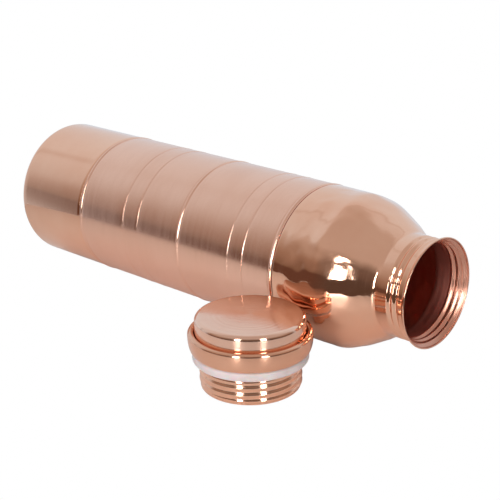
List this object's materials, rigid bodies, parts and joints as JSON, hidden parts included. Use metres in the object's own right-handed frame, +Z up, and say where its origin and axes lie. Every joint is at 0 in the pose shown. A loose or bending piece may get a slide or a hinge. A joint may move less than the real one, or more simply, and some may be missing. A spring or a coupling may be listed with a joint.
{
  "type": "copper water bottle with screw cap",
  "caption": "Sheet-copper water bottle lying on its side, with a threaded neck, and its screw cap with gasket standing beside the shoulder.",
  "frame": {"origin": "on the table, under the centre of the bounding box of bottle and cap", "axes": "+X along the lying bottle from base to mouth, +Z up and along the cap's axis from plug to crown, +Y from cap towards bottle"},
  "size_m": [0.2494, 0.1274, 0.0728],
  "materials": {
    "polished_copper": "mirror polished copper",
    "satin_copper": "satin copper, brushed around the axis",
    "cap_copper": "polished copper with turning marks",
    "gasket_silicone": "pale translucent silicone",
    "soft_solder": "dull grey solder"
  },
  "bodies": {
    "bottle": {"base_cup": "polished_copper", "body_tube": "satin_copper", "shoulder_neck": "polished_copper"},
    "seal": {"gasket": "gasket_silicone"},
    "cap": {"cap_plug": "cap_copper", "cap_band": "cap_copper", "cap_crown": "cap_copper", "cap_solder_ring": "soft_solder"}
  },
  "joints": [
    {"name": "cap_travel", "type": "slide", "parent": "bottle", "child": "seal", "axis": [0, 0, 1], "range_m": [0, 0.0122]},
    {"name": "cap_turn", "type": "hinge", "parent": "seal", "child": "cap", "pos_m": [0.07285, -0.03651, 0.0145], "axis": [0, 0, 1], "range_deg": [0, 1372.5]}
  ],
  "couplings": [
    {"joint": "cap_travel", "follows": "cap_turn", "m_per_rad": 0.00050929}
  ]
}
